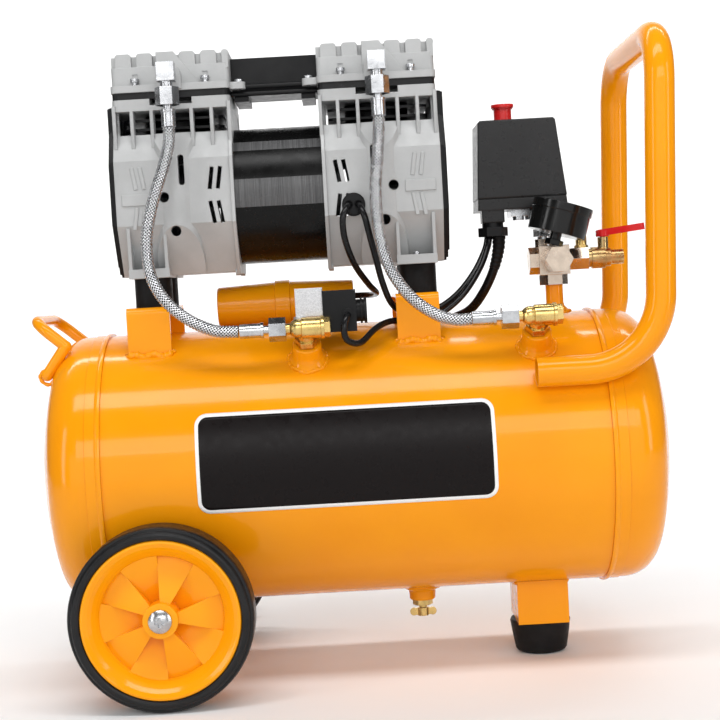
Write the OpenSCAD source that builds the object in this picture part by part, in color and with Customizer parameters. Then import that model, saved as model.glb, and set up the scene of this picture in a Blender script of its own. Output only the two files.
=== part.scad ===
// Portable oil-free air compressor: two pump heads on one motor, above a horizontal air tank.
// X runs along the tank towards the push handle, Y runs across it and Z is up.
// The origin is on the floor, below the middle of the tank.

/* [Tank] */
// Outside radius of the tank
tank_r = 120; // [118:0.5:122]
// Length of the tank over both dished heads
tank_len = 549; // [545:1:553]
// Height of the tank's axis above the floor
tank_z = 184; // [182:0.5:186]
// Thickness of the tank's sheet steel
tank_wall = 2.5; // [2:0.25:3]
// Distance from the tank's middle to each weld seam
seam_x = 211.5; // [208:0.5:214]
// Crown radius of the dished heads
crown_r = 330; // [320:5:345]
// Knuckle radius of the dished heads
knuckle_r = 30; // [26:1:34]

/* [Wheels] */
// Wheel radius over the tyre
wheel_r = 76; // [75.5:0.1:76.2]
// Radius of the rim under the tyre
rim_r = 65.5; // [64:0.5:66]
// Width of the tyre
tyre_w = 36; // [34:1:37]
// Distance from the middle to a tyre's outer face
wheel_y = 152; // [151:0.5:153]
// Position of the wheels along the tank
wheel_x = -166; // [-170:1:-162]
// Radius of the shoulder bolt that a wheel turns on
axle_r = 6.25; // [6:0.05:6.5]
// Number of raised vanes in a wheel
vanes = 5; // [4:1:8]

/* [Foot and drain] */
// Position of the front foot along the tank
foot_x = 157; // [153:1:161]
// Height of the rubber foot
foot_h = 29.5; // [27:0.5:31]
// Radius at the top of the rubber foot
foot_r = 27; // [25:0.5:28]
// Position of the drain along the tank
drain_x = 52; // [45:1:60]

/* [Handles] */
// Outside radius of the push handle's tube
handle_r = 12.5; // [12:0.1:13]
// Wall of the push handle's tube
handle_wall = 2; // [1.5:0.25:2.5]
// Distance from the middle to each arm of the push handle
handle_y = 110; // [110:0.5:112]
// Height of the push handle's lower legs
handle_leg_z = 257; // [255:0.5:258]
// Centreline radius of the lower bends
handle_bend = 62; // [58:1:66]
// Outward lean of the arms in degrees
handle_lean = 2.2; // [1.5:0.1:3]
// Height of the top of the push handle
handle_top = 545; // [540:1:548]
// Radius of the lifting bail's rod
bail_r = 5; // [4.5:0.25:5.5]

/* [Pump] */
// Position of the motor's middle along the tank
pump_x = -54; // [-55:0.5:-53]
// Height of the crankshaft
shaft_z = 421; // [420.5:0.1:421.5]
// Distance from the motor's middle to each cylinder
side_x = 88; // [87.5:0.1:88.5]
// Crank throw
throw = 6; // [5:0.5:6]
// Radius of each cylinder's bore
bore_r = 25.05; // [25.05:0.01:25.1]
// Radius of the crankshaft
shaft_r = 6; // [5.98:0.01:6]
// Radius of the motor's laminations
motor_r = 59.5; // [58:0.5:60]
// Radius of the rubber mounts
rubber_r = 16.3; // [15:0.1:17]
// Height of the rubber mounts
rubber_h = 25; // [24.5:0.1:25.5]

/* [Air line] */
// Distance of the check valves in front of the tank's axis
valve_y = 97; // [95:0.5:99]
// Height of the check valves
valve_z = 304; // [302:0.5:306]
// Position of the left check valve's boss; the right one is a valve pitch further
boss_x = -37; // [-39:0.5:-35]
// Distance between the two check valves
valve_pitch = 194; // [193:0.5:195]
// Outside radius of the braided hoses
hose_r = 5.3; // [5:0.1:5.5]
// Position of the riser pipe along the tank
riser_x = 184.5; // [183:0.5:186]
// Height of the manifold's ports
port_z = 350; // [349:0.5:351]
// Radius of the outlet's male thread
outlet_r = 6.58; // [6.5:0.01:6.6]
// Radius of the pressure gauge
gauge_r = 26.3; // [25.5:0.1:26.5]
// Tilt of the pressure gauge towards the handle in degrees
gauge_tilt = 17; // [14:0.5:18]

/* [Wiring] */
// Radius of the motor, capacitor and valve leads
lead_r = 2.75; // [2.5:0.05:2.8]
// Radius of the mains lead
mains_r = 4.25; // [4:0.05:4.3]
// Mean radius of the mains lead's stored coil
coil_r = 47; // [45:1:50]
// Height of the switch's underside
switch_z = 397; // [396:0.5:398]

/* [Hidden] */
$fn = 64;
e = 0.01;

orange = "#f39510";
grey = "#b9bab9";
black = "#1c1c1d";
zinc = "#c9cbcd";
brass = "#c9a85a";

// Tank
dish_c = tank_len / 2 - crown_r;
dish_k = sqrt(pow(crown_r - knuckle_r, 2) - pow(tank_r - knuckle_r, 2));
crown_a = asin((tank_r - knuckle_r) / (crown_r - knuckle_r));
port_a = atan(valve_y / (valve_z - tank_z));
port_d = norm([valve_y, valve_z - tank_z]);

// Saddle brackets and mounts
saddle_top = 328;
saddle_t = 3;
saddle_w = 37;
saddle_fold = 5.5;
saddle_y = 61;
saddle_xs = [-172, 59];
mount_dx = 116;
mount_y = 23;
pad_z = saddle_top + rubber_h;

// Pump
case_in = 39;
case_out = 139.5;
deck_z = 505.5;
flange_h = 10;
plate_h = 5;
gasket_h = 1;
head_z = deck_z + plate_h + gasket_h;
head_flange = 6;
lug_x = 58;
head_top = 545.5;
ecc_r = 15;
big_end_r = 27.6;
hose_y = 82;
hose_foot_x = -92;

// Wheels
hub_in = 107;
hub_out = wheel_y - 1;
web_back = wheel_y - 27;
dish_r = 50.3;
vane_start = 56;

// Routes of the flexible parts
hose_left_route = [[-142, -82, 477.5], [-143, -82, 464], [-148, -84, 446], [-157, -86, 421],
    [-164, -87, 396], [-166, -88, 374], [-163, -90, 352], [-152, -92, 332], [-134, -94, 316],
    [-113, -96, 306], [-93, -97, 304]];
hose_right_route = [[34, -82, 477.5], [33, -82, 464], [31, -84, 444], [28, -85, 420], [28, -86, 392],
    [31, -88, 367], [39, -90, 344], [54, -92, 323], [73, -95, 309], [89, -97, 304], [101.5, -97, 304]];
motor_lead_route = [[13, -67, 406], [15, -74, 402], [18, -78, 393], [21, -76, 378], [25, -69, 360],
    [30, -60, 338], [37, -50, 320], [48, -41, 311], [62, -34, 309], [80, -27, 314], [98, -17, 326],
    [114, -5, 344], [125, 5, 363], [128, 8, 374]];
capacitor_lead_route = [[5, -67, 406], [3, -74, 403], [-1, -78, 394], [0, -75, 376], [7, -62, 355],
    [18, -40, 338], [25, -14, 330], [22, 8, 328], [15, 20, 328], [7, 24, 328]];
solenoid_lead_route = [[-1, -94, 313], [-3, -99, 310], [-5, -102, 301], [-3, -100, 292], [8, -91, 289],
    [22, -73, 300], [36, -56, 305], [50, -50, 303], [66, -44, 303], [84, -36, 311], [102, -25, 325],
    [118, -11, 346], [127, -1, 365], [129, 1, 374]];
mains_route = [[138, 6, 374], [137, 6, 362], [132, 9, 344], [122, 15, 324], [110, 28, 309],
    [92, 50, 300], [74, 75, 286], [56, 98, 265], [38, 115, 240], [20, 126, 209], [2, 131, 176],
    [-18, 135, 144], [-40, 143, 112], [-66, 152, 80], [-94, 160, 49], [-122, 167, 22],
    [-142, 173, 9], [-158, 178, 5], [-172, 181, 4.5]];
coil_centre = [-172, 228];
coil_h = 4 * mains_r;

function unit(v) = v / norm(v);
function tangent(p, i) = let (n = len(p) - 1)
    unit(p[min(i + 1, n)] - p[max(i - 1, 0)]);
// A tube of n sides along the points p; ref is a direction that the route never runs along
module tube(p, r, ref, n) {
    rings = [for (i = [0:len(p) - 1]) let (t = tangent(p, i), u = unit(cross(t, ref)), v = cross(t, u))
        for (k = [0:n - 1]) p[i] + r * (cos(360 * k / n) * u + sin(360 * k / n) * v)];
    last = (len(p) - 1) * n;
    polyhedron(rings, concat([[for (k = [0:n - 1]) k]], [[for (k = [n - 1:-1:0]) last + k]],
        [for (i = [0:len(p) - 2], k = [0:n - 1]) let (m = (k + 1) % n)
            each [[i * n + k, (i + 1) * n + k, i * n + m], [i * n + m, (i + 1) * n + k, (i + 1) * n + m]]]));
}

module along_x() rotate([0, 90, 0]) children();
module along_y() rotate([-90, 0, 0]) children();
// Extrudes an outline drawn in Y and Z from x0 to x1
module slab_x(x0, x1) translate([x0, 0, 0]) rotate([90, 0, 90]) linear_extrude(x1 - x0) children();
// Extrudes an outline drawn in X and Z from y0 to y1
module slab_y(y0, y1) translate([0, y1, 0]) rotate([90, 0, 0]) linear_extrude(y1 - y0) children();
module box(x0, x1, y0, y1, z0, z1) translate([x0, y0, z0]) cube([x1 - x0, y1 - y0, z1 - z0]);
module rod(r, h, z = 0, hole = 0) translate([0, 0, z]) difference() {
    cylinder(r = r, h = h);
    if (hole > 0) translate([0, 0, -1]) cylinder(r = hole, h = h + 2);
}
// A hexagonal bar by its width across flats
module hex(af, h, z = 0) translate([0, 0, z]) cylinder(r = af / sqrt(3), h = h, $fn = 6);
module round_rect(w, d, r) {
    square([w - 2 * r, d], center = true);
    square([w, d - 2 * r], center = true);
    for (x = [-1, 1], y = [-1, 1]) translate([x * (w / 2 - r), y * (d / 2 - r)]) circle(r);
}
module tank_cutter(r = tank_r) translate([-300, 0, tank_z]) along_x() cylinder(r = r, h = 600);
// Stands its children on the tank at the check valves' angle, Z pointing out of the tank
module on_port(x) translate([x, 0, tank_z]) rotate([port_a, 0, 0]) children();
module ends_y() for (m = [0, 1]) mirror([0, m, 0]) children();
// One pump side: 1 is on the right and -1 is its mirror image on the left
module side(s) translate([pump_x, 0, 0]) mirror([s < 0 ? 1 : 0, 0, 0]) children();
module sides() for (s = [-1, 1]) side(s) children();

// Tank -------------------------------------------------------------------------------------------
module port_holes() {
    for (i = [0, 1]) on_port(boss_x + i * valve_pitch) cylinder(r = 7.5, h = 130);
    translate([riser_x, 0, tank_z]) cylinder(r = 5.5, h = 130);
    translate([drain_x, 0, tank_z - 130]) cylinder(r = 6, h = 130);
}

module tank_shell() color(orange) difference() {
    translate([-seam_x, 0, tank_z]) along_x() difference() {
        cylinder(r = tank_r, h = 2 * seam_x);
        translate([0, 0, -1]) cylinder(r = tank_r - tank_wall, h = 2 * seam_x + 2);
    }
    port_holes();
}

// Half section of a dished head, x along the tank
module dish(t) {
    intersection() {
        translate([dish_c, 0]) circle(crown_r - t, $fn = 200);
        polygon([[dish_c, 0], [dish_c + 2 * crown_r * cos(crown_a), 2 * crown_r * sin(crown_a)],
            [dish_c + 2 * crown_r, 0]]);
        translate([seam_x, 0]) square([100, tank_r]);
    }
    translate([seam_x, 0]) square([dish_c + dish_k - seam_x, tank_r - t]);
    intersection() {
        translate([dish_c + dish_k, tank_r - knuckle_r]) circle(knuckle_r - t);
        translate([seam_x, 0]) square([100, tank_r]);
    }
}

// Turns a half section about the tank's axis
module head_revolve() translate([0, 0, tank_z]) rotate([0, 90, 0]) rotate_extrude()
    rotate([0, 0, 90]) mirror([0, 1, 0]) children();

module tank_heads() color(orange) for (m = [0, 1]) mirror([m, 0, 0])
    head_revolve() {
        difference() {
            dish(0);
            dish(tank_wall);
            translate([seam_x - 1, 0]) square([1 + e, tank_r - tank_wall]);
        }
        translate([seam_x, tank_r - 1]) square([13, 1.7]);
        intersection() {
            translate([seam_x + 1.5, tank_r - 2]) circle(4.2);
            translate([seam_x, tank_r - 1]) square([10, 10]);
        }
    }

module boss_profile() polygon([[7.5, 118.5], [17.5, 118.5], [15.5, 121.5], [13.4, 124.5], [12.6, 128],
    [12.2, 136.5], [11.2, 137.5], [7.5, 137.5]]);

module tank_bosses() color(orange) {
    for (i = [0, 1]) on_port(boss_x + i * valve_pitch) rotate_extrude() boss_profile();
    translate([riser_x, 0, tank_z]) rotate_extrude()
        polygon([[5.5, 119], [14, 119], [12, 121.5], [8.6, 125], [7.75, 128], [7.75, 144], [5.5, 144]]);
    translate([drain_x, 0, tank_z]) mirror([0, 0, 1]) rotate_extrude()
        polygon([[6, 118.6], [16.5, 118.6], [15.5, 121.5], [12, 124], [11.6, 131], [10.6, 132], [6, 132]]);
}

module drain_cock() color(brass) translate([drain_x, 0, 0]) {
    rod(5.95, 14, 52 - e, 1.5);
    difference() {
        hex(15.5, 5, 47);
        translate([0, 0, 40]) cylinder(r = 1.5, h = 20);
    }
    rod(3.5, 2.5, 44.5, 1.5);
}

module drain_wing() color(brass) translate([drain_x, 0, 0]) difference() {
    union() {
        rod(5, 7.2, 37);
        for (s = [-1, 1]) {
            translate([s * 8.5, 0, 40.6]) along_y() translate([0, 0, -1.6]) cylinder(r = 3.4, h = 3.2);
            translate([s * 5 - 4, -1.6, 37.6]) cube([8, 3.2, 6]);
        }
    }
    translate([0, 0, 36]) cylinder(r = 1.5, h = 10);
}

// Handles ----------------------------------------------------------------------------------------
module tube_section() difference() {
    circle(handle_r);
    circle(handle_r - handle_wall);
}
module tube_straight(l) linear_extrude(l) tube_section();
module tube_bend(radius, a) rotate_extrude(angle = a) translate([radius, 0]) tube_section();

handle_leg_x = 152;
handle_turn_x = 196;
top_bend = 40;
// Where the lower bend hands over to the leaning arm
arm_x = handle_turn_x + handle_bend * cos(handle_lean);
arm_z = handle_leg_z + handle_bend * (1 - sin(handle_lean));
arm_len = (handle_top - handle_r - top_bend * cos(handle_lean) - arm_z) / cos(handle_lean);

module front_handle() color(orange) {
    ends_y() {
        translate([handle_leg_x, -handle_y, handle_leg_z]) along_x()
            tube_straight(handle_turn_x - handle_leg_x);
        translate([handle_turn_x, -handle_y, handle_leg_z + handle_bend]) rotate([90, 0, 0])
            rotate([0, 0, -90]) tube_bend(handle_bend, 90 - handle_lean);
        translate([arm_x, -handle_y, arm_z]) rotate([0, handle_lean, 0]) {
            tube_straight(arm_len);
            rod(handle_r - 1, 12, -6, handle_r - handle_wall - 1);
            translate([0, top_bend, arm_len]) rotate([0, 0, -90]) rotate([90, 0, 0])
                tube_bend(top_bend, 90);
        }
    }
    translate([arm_x, 0, arm_z]) rotate([0, handle_lean, 0]) translate([0, 0, arm_len + top_bend])
        rotate([90, 0, 0]) translate([0, 0, -handle_y + top_bend])
            tube_straight(2 * (handle_y - top_bend));
}

bail_tip = [-263, -50, 274.5];
bail_elbow = [-245.5, -51, 298.5];
bail_tilt = 41;
bail_leg = 16;
bail_bend = 18;
// Half of the grip's straight length
bail_grip = -bail_elbow[1] - bail_bend;
// A straight rod with ball ends from a to b
module link(a, b, r) {
    d = b - a;
    translate(a) rotate([0, acos(d[2] / norm(d)), atan2(d[1], d[0])]) cylinder(r = r, h = norm(d));
    for (p = [a, b]) translate(p) sphere(r + 0.15);
}
module lifting_bail() color(orange) {
    ends_y() link(bail_tip, bail_elbow, bail_r);
    translate([bail_elbow[0], 0, bail_elbow[2]]) rotate([0, bail_tilt, 0]) {
        ends_y() {
            translate([-bail_leg, bail_elbow[1], 0]) along_x() cylinder(r = bail_r, h = bail_leg);
            translate([-bail_leg, -bail_grip, 0]) rotate([0, 0, 180]) rotate_extrude(angle = 90)
                translate([bail_bend, 0]) circle(bail_r);
        }
        translate([-bail_leg - bail_bend, -bail_grip, 0]) along_y() cylinder(r = bail_r, h = 2 * bail_grip);
    }
}

// Brackets ---------------------------------------------------------------------------------------
// Outline of a bracket's folded sheet, its top corners rounded; t is the depth below its outside
module saddle_outline(t, r) {
    translate([-saddle_y + t, tank_z]) square([2 * (saddle_y - t), saddle_top - t - r - tank_z]);
    translate([-saddle_y + t + r, tank_z]) square([2 * (saddle_y - t - r), saddle_top - t - tank_z]);
    for (y = [-1, 1]) translate([y * (saddle_y - t - r), saddle_top - t - r]) circle(r);
}
module saddle_brackets() color(orange) for (x = saddle_xs) difference() {
    slab_x(x - saddle_w / 2, x + saddle_w / 2) saddle_outline(0, saddle_fold);
    slab_x(x - 50, x + 50) saddle_outline(saddle_t, saddle_fold - saddle_t);
    tank_cutter();
    for (y = [-1, 1]) translate([pump_x + sign(x) * mount_dx, y * mount_y, 300]) cylinder(r = 4.2, h = 50);
}

axle_plate_y = 100;
module axle_brackets() color(orange) ends_y() difference() {
    union() {
        box(wheel_x - 24, wheel_x + 24, -axle_plate_y, -axle_plate_y + 4, 58, 130);
        for (x = [-24, 20]) box(wheel_x + x, wheel_x + x + 4, -axle_plate_y + 4, -axle_plate_y + 34, 62, 118);
    }
    tank_cutter();
    translate([wheel_x, -axle_plate_y - 1, wheel_r]) along_y() cylinder(r = axle_r, h = 6);
}

module wheel_axles() color(zinc) ends_y() translate([wheel_x, 0, wheel_r]) {
    translate([0, -hub_out - 0.3, 0]) along_y() cylinder(r = axle_r, h = hub_out - axle_plate_y + 14.3);
    translate([0, -axle_plate_y + 4, 0]) along_y() difference() {
        hex(19, 8);
        translate([0, 0, -1]) cylinder(r = axle_r, h = 10);
    }
    translate([0, -hub_in + 0.3, 0]) along_y() rod(11, hub_in - axle_plate_y - 0.3, 0, axle_r);
}

foot_w = 45;
foot_d = 62;
foot_plate = 3;
module foot_bracket() color(orange) difference() {
    box(foot_x - foot_w / 2, foot_x + foot_w / 2, -foot_d / 2, foot_d / 2, foot_h, 80);
    box(foot_x - foot_w / 2 + foot_plate, foot_x + foot_w / 2 - foot_plate,
        -foot_d / 2 + foot_plate, foot_d / 2 - foot_plate, foot_h + foot_plate, 90);
    tank_cutter();
    translate([foot_x, 0, 0]) cylinder(r = 4.2, h = 60);
}

module rubber_foot() color(black) translate([foot_x, 0, 0]) rotate_extrude()
    polygon([[11, 0], [18.5, 0], [21.5, 1], [23, 3], [foot_r - 1.4, 18], [foot_r, foot_h - 2],
        [foot_r - 0.8, foot_h], [4.05, foot_h], [4.05, 14], [11, 14]]);

// Wheels -----------------------------------------------------------------------------------------
// Half section of the rim: radius, then distance from the middle of the compressor
module rim_profile() {
    polygon([[axle_r + 0.06, hub_in], [14.4, hub_in], [14.4, hub_out], [axle_r + 0.06, hub_out]]);
    polygon([[rim_r, wheel_y - tyre_w + 2], [rim_r, wheel_y - 3], [rim_r - 0.8, wheel_y - 1.4],
        [rim_r - 2.5, wheel_y - 1], [62, wheel_y - 1.6], [59.5, wheel_y - 3.2], [56.5, wheel_y - 6],
        [53.5, wheel_y - 9.4], [51.5, wheel_y - 12.4], [dish_r, wheel_y - 16], [dish_r, web_back],
        [53.5, web_back], [54, wheel_y - 16], [57, wheel_y - 11], [rim_r - 3, wheel_y - 6],
        [rim_r - 3, wheel_y - tyre_w + 2]]);
}
// A sector of the web whose front slopes from depth d0 at the hub to depth d1 at the dish
module vane(a0, a, back, d0, d1) rotate([0, 0, a0]) rotate_extrude(angle = a)
    polygon([[14, back], [dish_r + 1, back], [dish_r + 1, wheel_y - d1], [14, wheel_y - d0]]);
module rim() {
    pitch = 360 / vanes;
    rotate_extrude() rim_profile();
    vane(0, 360, web_back, 24, 20);
    for (i = [0:vanes - 1]) {
        vane(vane_start + i * pitch, pitch / 2, web_back + 1, 9, 18);
        vane(vane_start + (i + 0.5) * pitch - 0.5, pitch / 2 + 1, web_back + 2, 23, 14);
    }
}
module tyre_profile() {
    lo = wheel_y - tyre_w;
    polygon([[rim_r, lo + 2], [rim_r + 1, lo], [70.5, lo], [72, lo + 1.2], [72.6, lo + 3], [74, lo + 3],
        [75.6, lo + 5], [wheel_r, lo + 8], [wheel_r, wheel_y - 8], [75.7, wheel_y - 5.5],
        [74.8, wheel_y - 3.6], [73, wheel_y - 3.4], [72.4, wheel_y - 2], [71.2, wheel_y - 0.6],
        [69.5, wheel_y], [67.6, wheel_y - 0.2], [rim_r + 0.8, wheel_y - 0.9], [rim_r, wheel_y - 2.2]]);
}
module at_wheel(far) translate([wheel_x, 0, wheel_r]) mirror([0, far ? 1 : 0, 0]) rotate([90, 0, 0])
    children();
module near_rim() color(orange) at_wheel(false) rim();
module far_rim() color(orange) at_wheel(true) rim();
module near_tyre() color(black) at_wheel(false) rotate_extrude() tyre_profile();
module far_tyre() color(black) at_wheel(true) rotate_extrude() tyre_profile();

// Pump castings ----------------------------------------------------------------------------------
// Outline of the crankcase in Y and Z, shrunk by t
module case_outline(t) polygon([[-34 + 0.6 * t, 355 + t], [34 - 0.6 * t, 355 + t], [60 - t, 398 + 0.3 * t],
    [60 - t, 453 - 0.3 * t], [47 - t, 480 - 0.3 * t], [47 - t, deck_z - 5], [t - 47, deck_z - 5],
    [t - 47, 480 - 0.3 * t], [t - 60, 453 - 0.3 * t], [t - 60, 398 + 0.3 * t]]);
rib_xs = [-49, -34, -17, 17, 34, 49];
slot_slant = 9;
window_z = 476;
pad_x = 115;

module slot_pair(r, h) for (x = [50.5, 57.5], z = [-1, 1])
    translate([x, 0, shaft_z + z * 14.5]) rotate([0, -z * slot_slant, 0])
        translate([-r, -h, -9.5]) cube([2 * r, h, 19]);

module crankcase() difference() {
    union() {
        slab_x(case_in, case_out) case_outline(0);
        slab_x(case_in - 1, case_in + 2) case_outline(-1.8);
        intersection() {
            slab_x(60, 116) case_outline(-3.6);
            union() for (y = [-1, 1]) translate([side_x, y * 43, 355]) cylinder(r = 20.5, h = 124);
        }
        translate([side_x, 0, deck_z - flange_h]) linear_extrude(flange_h) round_rect(101, 114, 6);
        ends_y() {
            for (x = rib_xs) slab_x(side_x + x - 1.5, side_x + x + 1.5)
                polygon([[-44, deck_z - 5], [-57, deck_z - 5], [-57, 481], [-55, 464], [-44, 464]]);
            box(pad_x - 17.5, pad_x + 17.5, -57, -3, pad_z, pad_z + 8);
            for (x = [-17, 14]) slab_x(pad_x + x, pad_x + x + 3)
                polygon([[-30, pad_z + 4], [-56.5, pad_z + 4], [-59.6, 396], [-50, 396]]);
            translate([case_in + 1.5, -32, 355]) along_x() cylinder(r = 3.5, h = 4, center = true);
            box(108, 134, -61.2, -58, shaft_z - 6, shaft_z + 3.5);
            for (x = [116, 123], z = [-1, 1]) translate([x, -60, shaft_z + z * 17])
                rotate([0, z * slot_slant, 0]) translate([-1.6, -0.7, -9.5]) cube([3.2, 2, 19]);
        }
    }
    difference() {
        slab_x(case_in + 4, case_out + 1) case_outline(3.5);
        translate([case_in, 0, shaft_z]) along_x() cylinder(r = 21, h = 15);
        box(side_x - 60, side_x + 60, -60, 60, deck_z - flange_h, deck_z + 1);
    }
    translate([side_x, 0, deck_z - flange_h - 2]) cylinder(r = 28.05, h = flange_h + 4);
    translate([case_in - 2, 0, shaft_z]) along_x() cylinder(r = 9, h = 20);
    translate([case_in + 5, 0, shaft_z]) along_x() cylinder(r = 16, h = 20);
    ends_y() {
        for (w = [[-47.5, -35.5], [-32.5, -18.5], [-15.5, 15.5], [18.5, 32.5], [35.5, 46]])
            box(side_x + w[0], side_x + w[1], -64, -36, window_z, deck_z - flange_h);
        box(side_x - 18, side_x + 18, -60, -31, deck_z - 5.5, deck_z + 1);
        translate([0, -50, 0]) slot_pair(1.7, 14);
    }
    box(79.5, 84.5, -68, -50, 433, 454);
    for (z = [433, 454]) translate([82, -50, z]) rotate([90, 0, 0]) cylinder(r = 2.5, h = 18);
    for (p = [[89.5, 392], [98, 421]]) translate([p[0], -40, p[1]]) rotate([90, 0, 0])
        cylinder(r = 4.4, h = 28);
    for (y = [-1, 1]) translate([mount_dx, y * mount_y, 340]) cylinder(r = 4.2, h = 40);
    for (x = [-30, 30], y = [-52, 52]) translate([side_x + x, y, deck_z - 14]) cylinder(r = 3.05, h = 20);
}
module crankcase_left() color(grey) side(-1) crankcase();
module crankcase_right() color(grey) side(1) crankcase();

module fan_covers() color(black) sides() difference() {
    union() {
        slab_x(case_out, case_out + 2) case_outline(0);
        slab_x(case_out + 1.5, case_out + 3.8) case_outline(2.5);
        slab_x(case_out + 3.3, case_out + 5.5) case_outline(9);
    }
    slab_x(case_out - 1, case_out + 1.5) case_outline(4);
    slab_x(case_out + 1, case_out + 3.5) case_outline(11);
    for (a = [0:30:330]) translate([case_out, 0, shaft_z]) rotate([a, 0, 0])
        box(-1, 10, -2, 2, 14, 36);
}

module cylinders() color(black) sides() translate([side_x, 0, 0]) difference() {
    union() {
        rod(28, deck_z - 452, 452);
        for (i = [0:1]) rod(38, 2.4, 456 + 8 * i);
        for (i = [2:4]) translate([0, 0, 456 + 8 * i]) linear_extrude(2.4) round_rect(86, 80, 6);
    }
    translate([0, 0, 450]) cylinder(r = bore_r, h = 60);
}

module head_slab(w, d, r, z, h) translate([side_x, 0, z]) linear_extrude(h) round_rect(w, d, r);
module head_bolt_holes() for (x = [-30, 30], y = [-52, 52])
    translate([side_x + x, y, deck_z - 1]) cylinder(r = 3.05, h = 10);
module valve_plates() color("#3a3b3d") sides() difference() {
    head_slab(100, 112, 5, deck_z, plate_h);
    head_bolt_holes();
    for (x = [-10, 10]) translate([side_x + x, 0, deck_z - 1]) cylinder(r = 5, h = 8);
}
module head_gaskets() color(black) sides() difference() {
    head_slab(100, 112, 5, deck_z + plate_h, gasket_h);
    head_bolt_holes();
    translate([side_x, 0, deck_z]) cylinder(r = 24, h = 20);
}

fin_pitch = 18.3;
fin_gap = 4.5;
// One head cover; the web on its front slopes towards +X on both, so it isn't mirrored
module head_cover(s) translate([pump_x + s * side_x, 0, 0]) difference() {
    union() {
        translate([0, 0, head_z]) linear_extrude(head_flange) round_rect(102, 114, 5);
        translate([0, 0, head_z]) linear_extrude(534 - head_z) round_rect(101, 97, 4);
        for (y = [-40, 40]) {
            translate([-s * lug_x, y, head_z]) cylinder(r = 5.5, h = head_flange);
            box(min(-s * lug_x, -s * 45), max(-s * lug_x, -s * 45), y - 5.5, y + 5.5, head_z,
                head_z + head_flange);
        }
        for (i = [0:5]) let (x0 = max(-50.5, -30.5 + (i - 1) * fin_pitch + fin_gap / 2),
                             x1 = min(50.5, -30.5 + i * fin_pitch - fin_gap / 2)) slab_y(-48, 48) {
            translate([x0, 530]) square([x1 - x0, head_top - 533]);
            translate([x0 + 3, 530]) square([x1 - x0 - 6, head_top - 530]);
            for (x = [x0 + 3, x1 - 3]) translate([x, head_top - 3]) circle(3);
        }
        slab_y(-43, -39) translate([-50.5, 530]) square([101, head_top - 532]);
        slab_y(-51, -46) polygon([[-11, head_z], [-11, head_top], [4, head_top], [25, 518], [25, head_z]]);
        translate([0, -46, 524]) rotate([90, 0, 0]) cylinder(r = 10, h = 15);
        box(-10, 10, -61, -46, head_z + 1, 524);
    }
    translate([0, -40, 524]) rotate([90, 0, 0]) cylinder(r = 5, h = 22);
    box(-38, 38, -36, 36, head_z - 1, 527);
    for (x = [-30, 30], y = [-52, 52]) translate([x, y, head_z - 1]) {
        cylinder(r = 3.05, h = 10);
        translate([0, 0, head_flange + 1]) cylinder(r = 4.4, h = 10);
    }
    for (y = [-40, 40]) translate([-s * lug_x, y, head_z - 1]) cylinder(r = 2.05, h = 10);
}
module head_covers() color(grey) for (s = [-1, 1]) head_cover(s);

// Moving parts of the pump -----------------------------------------------------------------------
module piston(s) color("#9a9c9e") side(s) difference() {
    union() {
        translate([side_x, 0, 468]) rod(25, 10);
        translate([side_x, 0, 462]) rod(17, 7);
        box(side_x - 5, side_x + 5, -9, 9, shaft_z + big_end_r + 2, 464);
        translate([side_x - 5, 0, shaft_z]) along_x() cylinder(r = big_end_r + 4, h = 10);
    }
    translate([side_x - 6, 0, shaft_z]) along_x() cylinder(r = big_end_r, h = 12);
}
module piston_left() piston(-1);
module piston_right() piston(1);

module at_shaft() translate([pump_x, 0, shaft_z]) along_x() children();
module motor_stator() color("#2a2a2b") at_shaft() difference() {
    union() {
        intersection() {
            rod(motor_r, 76, -38);
            for (a = [0, 45]) rotate([0, 0, a]) translate([-57.5, -57.5, -38]) cube([115, 115, 76]);
        }
    }
    translate([0, 0, -39]) cylinder(r = 32, h = 78);
    for (i = [0:11]) rotate([0, 0, 30 * i + 15]) translate([30, -3.5, -39]) cube([14, 7, 78]);
}
module rotor() color("#8d8f92") at_shaft() {
    rod(shaft_r, 272, -136);
    rod(31.4, 56, -28, shaft_r);
    for (z = [-33, 28]) rod(28, 5, z, shaft_r);
}
module shaft_bearings() color(zinc) sides() translate([case_in + 5, 0, shaft_z]) along_x()
    rod(16, 10, 0, shaft_r + 0.05);
module eccentrics() color("#6f7274") for (s = [-1, 1]) side(s) translate([0, 0, shaft_z]) difference() {
    union() {
        translate([side_x - 6, -s * throw, 0]) along_x() cylinder(r = ecc_r, h = 12);
        intersection() {
            translate([side_x - 22, 0, 0]) along_x() cylinder(r = 30, h = 12);
            box(side_x - 30, side_x, s > 0 ? -4 : -40, s > 0 ? 40 : 4, -40, 40);
        }
        translate([side_x - 22, 0, 0]) along_x() cylinder(r = 12, h = 17);
    }
    translate([side_x - 30, 0, 0]) along_x() cylinder(r = shaft_r, h = 60);
}
module cooling_fans() color(black) sides() translate([127.5, 0, shaft_z]) along_x() difference() {
    union() {
        rod(14, 7);
        rod(49, 1.4);
        for (i = [0:11]) rotate([0, 0, 30 * i]) translate([13, -0.8, 0]) cube([35, 1.6, 7]);
    }
    translate([0, 0, -1]) cylinder(r = shaft_r, h = 10);
}

// Top of the pump --------------------------------------------------------------------------------
module intake_duct() color(black) translate([pump_x, 0, 0]) {
    difference() {
        box(-37.4, 37.4, -24, 24, 521, 540);
        box(-40, 40, -21.5, 21.5, 523.5, 537.5);
    }
    box(-36.9, 36.9, -24, 24, 507, 521 + e);
    for (x = [-35, 23]) box(x, x + 12, -28, 28, 502, 507 + e);
}
module crossover_tubes() color(zinc) translate([pump_x, 0, 0])
    for (p = [[37, -31.5, 514.5], [38, -30, 508.5], [37, 31.5, 514.5]]) translate([-p[0], p[1], p[2]]) along_x()
        rod(2.2, 2 * p[0], 0, 1.4);

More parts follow.
